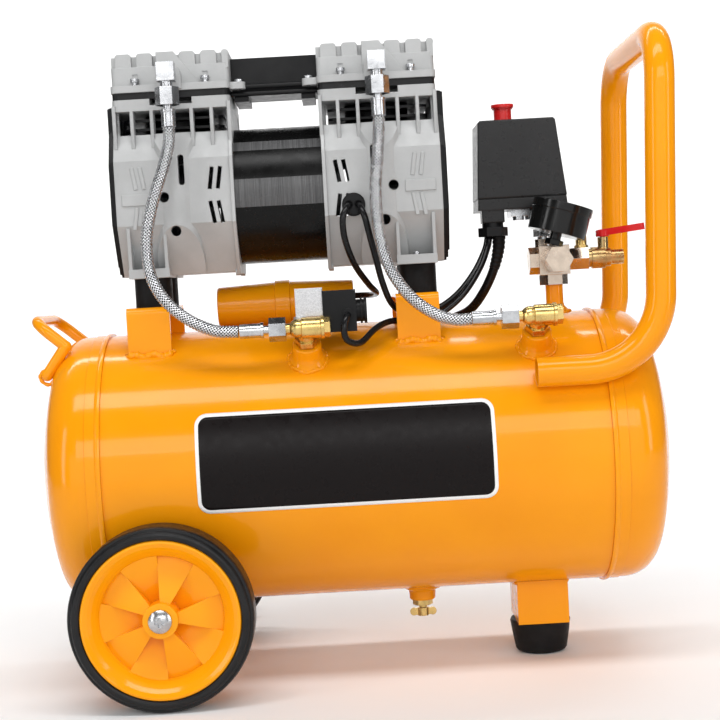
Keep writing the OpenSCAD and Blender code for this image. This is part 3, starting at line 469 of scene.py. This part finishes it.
MAINS_LEAD = [
    (138, 6, 374), (137, 6, 362), (132, 9, 344), (122, 15, 324), (110, 28, 309),
    (92, 50, 300), (74, 75, 286), (56, 98, 265), (38, 115, 240), (20, 126, 209),
    (2, 131, 176), (-18, 135, 144), (-40, 143, 112), (-66, 152, 80), (-94, 160, 49),
    (-122, 167, 22), (-142, 173, 9), (-158, 178, 5), (-172, 181, 4.5),
]
HOSE_R, LEAD_R, MAINS_R = 5.3, 2.75, 4.25
COIL_CENTRE = Vector((-172, 228, 0))


def path_length(path):
    """The length of a path, in the unit of its points."""
    return sum((b - a).length for a, b in zip(path, path[1:]))


def cord_path(points, count):
    """count points in metres on the smooth curve through points in millimetres."""
    return [p * MM for p in smooth_route(points, count)]


def lead(name, points):
    """A plain round lead between two glands, which stands for its CAD tube."""
    path = cord_path(points, 64)
    verts, faces = swept(path, [LEAD_R * MM] * len(path), 16)
    obj = add_mesh(name + "_sheath", verts, faces, cable_black)
    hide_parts(name)


CARRIERS, WIRES = 10, 3
LAY_LENGTH = 28
STRAND_HALF_ANGLE = 0.114
STRAND_TOP_R, STRAND_LOW_R, STRAND_WAVE = 4.66, 4.38, 0.36
INNER_TUBE_R = 4.1


def strand_crown():
    """Places across a strand from edge to edge, and how far each of its wires stands up there."""
    across = np.linspace(-1, 1, 2 * WIRES + 1)[None, :]
    bulge = np.abs(np.sin(np.linspace(0, WIRES * math.pi, 2 * WIRES + 1)))[None, :]
    return across, 0.2 * bulge - 0.12 * across ** 2


def braid_mesh(path):
    """Strands of parallel wires wound both ways, which pass over two and under two."""
    frames = route_frames(path)
    centre = np.array([tuple(p) for p in path])
    normal = np.array([tuple(f[1]) for f in frames])
    binormal = np.array([tuple(f[2]) for f in frames])
    run = np.linspace(0, path_length(path), len(path))[:, None]
    twist = 2 * math.pi * run / (LAY_LENGTH * MM)
    across, crown = strand_crown()
    offsets = np.hstack([STRAND_HALF_ANGLE * across, [[STRAND_HALF_ANGLE, -STRAND_HALF_ANGLE]]])
    verts, faces = [], []
    for hand in (1, -1):
        for strand in range(CARRIERS):
            angle = hand * twist + 2 * math.pi * (strand + 0.25 * hand) / CARRIERS
            lift = hand * STRAND_WAVE * np.cos(CARRIERS / 2 * angle - math.pi / 4)
            low = STRAND_LOW_R + lift
            radius = np.hstack([STRAND_TOP_R + lift + crown, low, low]) * MM
            turn = angle + offsets
            outward = (np.cos(turn)[..., None] * normal[:, None, :]
                       + np.sin(turn)[..., None] * binormal[:, None, :])
            surface = centre[:, None, :] + radius[..., None] * outward
            faces += tube_faces(len(path), radius.shape[1], len(verts))
            verts += surface.reshape(-1, 3).tolist()
    return verts, faces


def braided_hose(name, points):
    """A rubber tube in a wire braid, which stands for the plain CAD hose."""
    path = cord_path(points, 520)
    verts, faces = braid_mesh(path)
    tube_path = cord_path(points, 120)
    inner_verts, inner_faces = swept(tube_path, [INNER_TUBE_R * MM] * len(tube_path), 20)
    base = len(verts)
    verts += inner_verts
    faces += [tuple(base + i for i in face) for face in inner_faces]
    obj = add_mesh(name + "_braid", verts, faces, braid_wire)
    obj.data.materials.append(cable_black)
    indices = np.zeros(len(obj.data.polygons), dtype=np.int32)
    indices[-len(inner_faces):] = 1
    obj.data.polygons.foreach_set("material_index", indices)
    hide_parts(name)


COIL_KEYS = [
    (0, 47, 4.6), (0.7, 47, 4.45), (1.0, 38.5, 4.45), (1.5, 38.5, 4.45), (1.66, 38.5, 12.9),
    (2.0, 42.75, 11.9), (2.5, 42.75, 11.9), (2.7, 47, 12.9), (3.0, 51.25, 11.9), (3.168, 51.25, 16.5),
]
COIL_TAIL_R, COIL_TAIL_RISE = 39.7, 7.7


def coil_turns():
    """Three turns which lie beside and on each other, then a tail that rises into the plug.
    COIL_KEYS gives the turn count, radius and height; the turns run clockwise, seen from above."""
    last_turn, _, last_z = COIL_KEYS[-1]
    points = []
    steps = 24
    for i in range(int(last_turn * steps) + 1):
        t = i / steps
        for (t0, r0, z0), (t1, r1, z1) in zip(COIL_KEYS, COIL_KEYS[1:]):
            if t0 <= t < t1 or (t1 == last_turn and t >= t1):
                u = min(1, (t - t0) / (t1 - t0))
                u = u * u * (3 - 2 * u)
                a = math.radians(-90 - 360 * t)
                r, z = r0 + (r1 - r0) * u, z0 + (z1 - z0) * u
                points.append(COIL_CENTRE + Vector((r * math.cos(a), r * math.sin(a), z)))
                break
    tail = COIL_CENTRE + Vector((-10, 34 - COIL_TAIL_R, 0))
    for i in range(1, 9):
        a = math.radians(209.7 - 119.7 * i / 8)
        rise = last_z + COIL_TAIL_RISE * i / 8
        points.append(tail + Vector((COIL_TAIL_R * math.cos(a), COIL_TAIL_R * math.sin(a), rise)))
    return points


def mains_lead():
    """The mains lead from the switch to the plug, in one sheath with its coil on the floor."""
    coil = coil_turns()
    plug_end = coil[-1] + Vector((12, 0, 0))
    path = cord_path(MAINS_LEAD + coil[1:] + [plug_end], 420)
    verts, faces = swept(path, [MAINS_R * MM] * len(path), 18)
    obj = add_mesh("mains_lead_sheath", verts, faces, cable_black)
    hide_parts("mains_lead", "mains_coil")
    return obj, path


def rounded_box(c, s, half_w, half_h):
    """A point on a rounded box of these half sizes, from its angle's cosine and sine."""
    return half_w * math.copysign(abs(c) ** 0.7, c), half_h * math.copysign(abs(s) ** 0.7, s)


def cord_tie():
    """A woven strap round the coil's bundle, with a lapped end, pressed flat on the floor."""
    a = math.radians(-20)
    out = Vector((math.cos(a), math.sin(a), 0))
    along = Vector((-math.sin(a), math.cos(a), 0))
    centre = COIL_CENTRE + 44.8 * out + Vector((0, 0, 8.6))
    floor, half_strap, growth, bundle_r = -8.2, 8, 1.1, 11
    section = ((-half_strap, 0), (half_strap, 0), (half_strap, growth), (-half_strap, growth))
    steps = 41
    verts, faces = [], []
    for i in range(steps):
        b = 2 * math.pi * i / 36 - 0.4
        lap = 0.02 * i
        u, v = rounded_box(math.cos(b), math.sin(b), 11.8 + lap, 9.3 + lap)
        v = max(v, floor)
        for w, grow in section:
            scale = 1 + grow / bundle_r
            lift = Vector((0, 0, max(v * scale, floor)))
            verts.append((centre + scale * u * out + w * along + lift) * MM)
        if i:
            a0, b0 = 4 * (i - 1), 4 * i
            for k in range(4):
                m = (k + 1) % 4
                faces.append((a0 + k, b0 + k, b0 + m, a0 + m))
    faces.append((3, 2, 1, 0))
    faces.append(tuple(4 * (steps - 1) + k for k in range(4)))
    obj = add_mesh("cord_tie", verts, faces, gasket_black, smooth=False)
    return obj


PLUG_PLACE = Vector((31, 34, 17.2))
PIN_PROFILE = [(0, 2.3), (17, 2.3), (18.4, 1.8), (19, 1.0)]


def moulded_plug():
    """A round two-pin plug with a ribbed grip and a slotted, tapered strain relief."""
    centre = COIL_CENTRE + PLUG_PLACE
    grip = [(0, 13.6), (0.5, 14.8), (1.8, 16.2)]
    for i in range(5):
        rib = 1.8 * i
        grip += [(2.4 + rib, 16.9), (3.3 + rib, 16.3)]
    grip += [(12, 16.4), (13, 15.6), (13.6, 14.4), (14, 12.8)]
    body = turned("plug_body", grip, centre, (0, 0, 1), black_plastic, 64)
    relief = [(0, 4.9)]
    for i in range(7):
        at, r = 3.6 * i, 5.1 + 0.27 * i
        relief += [(0.6 + at, r), (2.4 + at, r + 0.15), (2.5 + at, r - 0.8), (3.5 + at, r - 0.8)]
    relief += [(26, 6.8), (28, 6.9)]
    sleeve = turned("plug_strain_relief", relief, centre + Vector((-41, 0, 7)), (1, 0, 0), black_rubber, 32)
    pins = []
    for tag, y in (("a", -9.5), ("b", 9.5)):
        foot = centre + Vector((0, y, 13.9))
        pins.append(turned(f"plug_pin_{tag}", PIN_PROFILE, foot, (0, 0, 1), bright_metal, 24))
    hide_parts("mains_plug")
    return [body, sleeve] + pins


def switch_strain_relief(lead_path):
    """A tapered, ribbed sleeve which follows the mains lead for 28 mm out of the switch's gland."""
    sleeve_length, top_r, end_r, groove, grooves = 28 * MM, 6.1, 4.75, 0.45, 7
    step = path_length(lead_path) / (len(lead_path) - 1)
    stretch = lead_path[:int(sleeve_length / step) + 2]
    path = smooth_route(stretch, 8 * len(stretch))
    radii = []
    for i in range(len(path)):
        t = i / (len(path) - 1)
        r = top_r + (end_r - top_r) * t
        in_groove = (t * grooves) % 1 > 0.6 and t < 0.96
        radii.append((r - (groove if in_groove else 0)) * MM)
    verts, faces = swept(path, radii, 24)
    obj = add_mesh("mains_strain_relief", verts, faces, black_rubber)
    return obj


mains, mains_path = mains_lead()
mains_pieces = [cord_tie(), switch_strain_relief(mains_path)] + moulded_plug()
braided_hose("hose_left", HOSE_LEFT)
braided_hose("hose_right", HOSE_RIGHT)
lead("motor_lead", MOTOR_LEAD)
lead("capacitor_lead", CAPACITOR_LEAD)
lead("solenoid_lead", SOLENOID_LEAD)


# Tank trim ------------------------------------------------------------------------------------
TANK_R, TANK_Z = 120, 184
PORT_ANGLE = math.atan2(97, 304 - TANK_Z)
SADDLE_XS, SADDLE_HALF_LENGTH, SADDLE_HALF_WIDTH = (-172, 59), 19.5, 61
BOSS_XS, BOSS_WELD_R = (-37, 157), 16.2
RISER_X, RISER_WELD_R = 184.5, 13.2
DRAIN_X, DRAIN_WELD_R = 52, 15.4
HANDLE_ANGLE = math.atan2(110, 257 - TANK_Z)
BAIL_TIP, BAIL_WELD_R = (-263, 50, 274.5), 6.2


def on_tank(x, angle, r=TANK_R):
    """A point on the tank; angle is measured from the top towards the front."""
    return Vector((x, -r * math.sin(angle), TANK_Z + r * math.cos(angle)))


WELD_STEP, LUMP_PACE, SWAY_PACE = 0.8, 0.52, 0.31


def weld(name, points, radius, closed=False):
    """A painted fillet weld: overlapping lumps along a line, with a seeded unevenness."""
    rng = np.random.default_rng(len(points) * 7 + int(abs(points[0][0])))
    length = sum((Vector(b) - Vector(a)).length for a, b in zip(points, points[1:]))
    path = smooth_route(points, max(12, int(length / WELD_STEP)))
    phase = rng.uniform(0, 6)
    radii, moved = [], []
    for i, p in enumerate(path):
        end = 1 if closed else min(1, 0.35 + min(i, len(path) - 1 - i) / 4)
        lump = 0.78 + 0.34 * abs(math.sin(i * LUMP_PACE + phase)) + rng.uniform(-0.06, 0.06)
        sway = 0.35 * radius * math.sin(i * SWAY_PACE + phase)
        radii.append(radius * lump * end * MM)
        moved.append((p + Vector((0, 0, sway))) * MM)
    verts, faces = swept(moved, radii, 12)
    obj = add_mesh(name, verts, faces, orange_enamel)


def weld_ring(name, x, angle, ring_r, lift, radius):
    """A weld round a fitting whose centre is at x and angle on the tank."""
    rim = circle(24)
    points = [on_tank(x + ring_r * c, angle + ring_r * s / TANK_R, TANK_R + lift) for c, s in rim + rim[:1]]
    weld(name, points, radius, True)


def tank_welds():
    """Every weld on the tank: saddles, bosses, riser, drain, handle, foot and bail."""
    for i, x in enumerate(SADDLE_XS):
        for side, tag in ((1, "front"), (-1, "back")):
            angle = side * math.asin(SADDLE_HALF_WIDTH / TANK_R)
            weld(f"saddle_weld_{i}_{tag}",
                 [on_tank(x + d, angle + side * 0.008) for d in (-20, -8, 8, 20)], 3.3)
            for end, edge in (("left", -SADDLE_HALF_LENGTH), ("right", SADDLE_HALF_LENGTH)):
                weld(f"saddle_weld_{i}_{tag}_{end}",
                     [on_tank(x + edge, angle - side * a) for a in (0.0, 0.012, 0.028)], 2.4)
    for i, x in enumerate(BOSS_XS):
        weld_ring(f"boss_weld_{i}", x, PORT_ANGLE, BOSS_WELD_R, 0.3, 1.7)
    weld_ring("riser_weld", RISER_X, 0, RISER_WELD_R, 0.2, 1.6)
    weld_ring("drain_weld", DRAIN_X, math.pi, DRAIN_WELD_R, 0.2, 1.6)
    for side, tag in ((1, "near"), (-1, "far")):
        for lift, edge in ((0.042, "low"), (-0.042, "high")):
            angle = side * (HANDLE_ANGLE + lift)
            weld(f"handle_weld_{tag}_{edge}",
                 [on_tank(x, angle, TANK_R + 0.4) for x in (156, 166, 178, 190)], 2.0)
    low_foot, high_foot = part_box("foot_bracket")
    for x in (low_foot[0] / MM, high_foot[0] / MM):
        for side, tag in ((1, "near"), (-1, "far")):
            weld(f"foot_weld_{int(x)}_{tag}",
                 [on_tank(x, math.pi - side * a, TANK_R + 0.2) for a in (0.02, 0.12, 0.25)], 1.8)
    tip_x, tip_y, tip_z = BAIL_TIP
    rim = circle(16)
    for side, tag in ((1, "near"), (-1, "far")):
        ring = [Vector((tip_x + BAIL_WELD_R * c, -tip_y * side, tip_z - 1.5 + BAIL_WELD_R * s))
                for c, s in rim + rim[:1]]
        weld(f"bail_weld_{tag}", ring, 1.6, True)


tank_welds()


def patch_on_tank(name, x0, x1, z0, z1, corner, lift, material):
    """A thin printed film with round corners, wrapped on the tank's front."""
    columns, rows, thickness = 48, 36, 0.25

    def inset(x):
        """How far the rounded corner cuts the height back at x."""
        edge = min(x - x0, x1 - x)
        if edge >= corner:
            return 0
        return corner - math.sqrt(max(0, corner ** 2 - (corner - edge) ** 2))

    verts = []
    for height in (lift, lift + thickness):
        for i in range(columns + 1):
            x = x0 + (x1 - x0) * (0.5 - 0.5 * math.cos(math.pi * i / columns))
            cut = inset(x)
            for j in range(rows + 1):
                z = z0 + cut + (z1 - z0 - 2 * cut) * j / rows
                verts.append(on_tank(x, math.acos((z - TANK_Z) / TANK_R), TANK_R + height) * MM)
    faces = []
    stride = rows + 1
    count = (columns + 1) * stride
    for i in range(columns):
        for j in range(rows):
            a, d = i * stride + j, i * stride + j + 1
            b, c = a + stride, d + stride
            faces.append((count + a, count + b, count + c, count + d))
            faces.append((d, c, b, a))
    rim = [i * stride for i in range(columns + 1)]
    rim += [columns * stride + j for j in range(1, rows + 1)]
    rim += [i * stride + rows for i in range(columns - 1, -1, -1)]
    rim += range(rows - 1, 0, -1)
    for a, b in zip(rim, rim[1:] + rim[:1]):
        faces.append((a, b, count + b, count + a))
    add_mesh(name, verts, faces, material)


patch_on_tank("nameplate_border", -133, 115, 156, 238, 10, 0.02, print_pale)
patch_on_tank("nameplate_field", -130, 112, 159, 235, 7.5, 0.2, print_black)


# Gauge dial -----------------------------------------------------------------------------------
GAUGE_CENTRE = Vector((188, -34, 385))
GAUGE_TILT = math.radians(17)
DIAL_R, DIAL_BACK, DIAL_FACE = 23.8, 8.02, 8.32
SCALE_START, SCALE_SWEEP, SCALE_R = 225, 270, 21.6
NUMBER_R, NUMBER_SIZE = 14.2, 4.6


def at_gauge(x, y, z):
    """A point by its place on the dial, z out of the dial."""
    c, s = math.cos(GAUGE_TILT), math.sin(GAUGE_TILT)
    return (GAUGE_CENTRE + Vector((c * x + s * z, y, -s * x + c * z))) * MM


def dial_disc():
    """The pale disc."""
    verts, faces = [], []
    ring = 64
    for z in (DIAL_BACK, DIAL_FACE):
        verts.append(at_gauge(0, 0, z))
        verts += [at_gauge(DIAL_R * c, DIAL_R * s, z) for c, s in circle(ring)]
    low, high = 0, ring + 1
    for k in range(ring):
        m = (k + 1) % ring
        faces.append((low, low + 1 + m, low + 1 + k))
        faces.append((high, high + 1 + k, high + 1 + m))
        faces.append((low + 1 + k, low + 1 + m, high + 1 + m, high + 1 + k))
    add_mesh("gauge_dial", verts, faces, print_pale, smooth=False)


def dial_scale():
    """Fifty divisions, with longer lines at every fifth and tenth."""
    divisions = 50
    verts, faces = [], []
    for k in range(divisions + 1):
        a = math.radians(SCALE_START - SCALE_SWEEP * k / divisions)
        c, s = math.cos(a), math.sin(a)
        inner, half = (17.6, 0.32) if k % 10 == 0 else (19.2, 0.18) if k % 5 == 0 else (20.2, 0.12)
        start = len(verts)
        for z in (DIAL_FACE + 0.01, DIAL_FACE + 0.13):
            for r, w in ((inner, -half), (inner, half), (SCALE_R, half), (SCALE_R, -half)):
                verts.append(at_gauge(r * c - w * s, r * s + w * c, z))
        faces.append(tuple(start + i for i in (4, 5, 6, 7)))
        faces.append(tuple(start + i for i in (3, 2, 1, 0)))
        for i in range(4):
            j = (i + 1) % 4
            faces.append((start + i, start + j, start + 4 + j, start + 4 + i))
    add_mesh("gauge_scale", verts, faces, print_black, smooth=False)


def dial_numbers():
    """The generic numbers 0 to 10 in twos."""
    for k in range(6):
        a = math.radians(SCALE_START - SCALE_SWEEP * k / 5)
        text = bpy.data.curves.new(f"gauge_number_{2 * k}", "FONT")
        text.body = str(2 * k)
        text.size = NUMBER_SIZE * MM
        text.align_x = "CENTER"
        text.align_y = "CENTER"
        text.extrude = 0.05 * MM
        text.materials.append(print_black)
        obj = bpy.data.objects.new(f"gauge_number_{2 * k}", text)
        bpy.context.scene.collection.objects.link(obj)
        place = at_gauge(NUMBER_R * math.cos(a), NUMBER_R * math.sin(a), DIAL_FACE + 0.1)
        obj.matrix_world = Matrix.Translation(place) @ Matrix.Rotation(GAUGE_TILT, 4, "Y")
        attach(obj, "frame")


dial_disc()
dial_scale()
dial_numbers()


# Stage ----------------------------------------------------------------------------------------
FLOOR_REACH, WALL_Y, WALL_TOP, SWEEP_R, FLOOR_DROP = 2.4, 3.0, 4.0, 0.8, 0.0003


def add_stage():
    """A pale floor which curves up far behind the object; it lies just below the wheels and the foot."""
    bend = WALL_Y - SWEEP_R
    profile = [(-FLOOR_REACH, 0.0), (bend, 0.0)]
    for degrees in range(10, 91, 10):
        a = math.radians(degrees)
        profile.append((bend + SWEEP_R * math.sin(a), SWEEP_R - SWEEP_R * math.cos(a)))
    profile.append((WALL_Y, WALL_TOP))
    verts = []
    for y, z in profile:
        verts += [(-FLOOR_REACH, y, z - FLOOR_DROP), (FLOOR_REACH, y, z - FLOOR_DROP)]
    faces = [(2 * i, 2 * i + 1, 2 * i + 3, 2 * i + 2) for i in range(len(profile) - 1)]
    look = Look("stage_paper")
    look.color(look.mix(look.noise(3, 2), (0.9, 0.9, 0.9), (0.88, 0.88, 0.88)))
    look.roughness(look.ramp(look.noise(40, 2), 0.3, 0.7, 0.7, 0.8))
    floor = add_mesh("floor", verts, faces, look.done(), body=None)


OBJECT_MIDDLE = (0, 0, 0.25)
AMBIENT, BACKGROUND = 0.14, 1.0


def area_light(name, place, target, size, power):
    """A rectangular softbox at place which faces target; sizes are in metres and power in watts."""
    light = bpy.data.lights.new(name, "AREA")
    light.shape = "RECTANGLE"
    light.size, light.size_y = size
    light.energy = power
    obj = bpy.data.objects.new(name, light)
    bpy.context.scene.collection.objects.link(obj)
    obj.location = place
    obj.rotation_euler = (Vector(target) - Vector(place)).to_track_quat("-Z", "Y").to_euler()


def add_lights():
    """Softboxes round a weak pale surrounding, which only the camera sees at full strength."""
    world = bpy.data.worlds.new("studio")
    bpy.context.scene.world = world
    world.use_nodes = True
    nodes, links = world.node_tree.nodes, world.node_tree.links
    background = nodes["Background"]
    background.inputs["Color"].default_value = (1, 1, 1, 1)
    seen = nodes.new("ShaderNodeMapRange")
    seen.inputs["To Min"].default_value = AMBIENT
    seen.inputs["To Max"].default_value = BACKGROUND
    links.new(nodes.new("ShaderNodeLightPath").outputs["Is Camera Ray"], seen.inputs["Value"])
    links.new(seen.outputs["Result"], background.inputs["Strength"])
    area_light("overhead_softbox", (0, -0.75, 1.75), OBJECT_MIDDLE, (1.7, 0.42), 17)
    area_light("front_softbox", (0.2, -2.3, 1.25), OBJECT_MIDDLE, (2.4, 0.6), 17)
    area_light("low_front_fill", (0, -3.0, 0.45), OBJECT_MIDDLE, (4.4, 1.6), 22)
    area_light("left_strip", (-1.7, -1.1, 0.7), OBJECT_MIDDLE, (0.35, 1.3), 7)
    area_light("right_strip", (1.7, -1.1, 0.7), OBJECT_MIDDLE, (0.35, 1.3), 7)
    area_light("backdrop_light", (0, 0.9, 2.4), (0, 2.9, 0.6), (3.6, 0.6), 85)
    bpy.context.scene.view_settings.view_transform = "Standard"


add_stage()
add_lights()
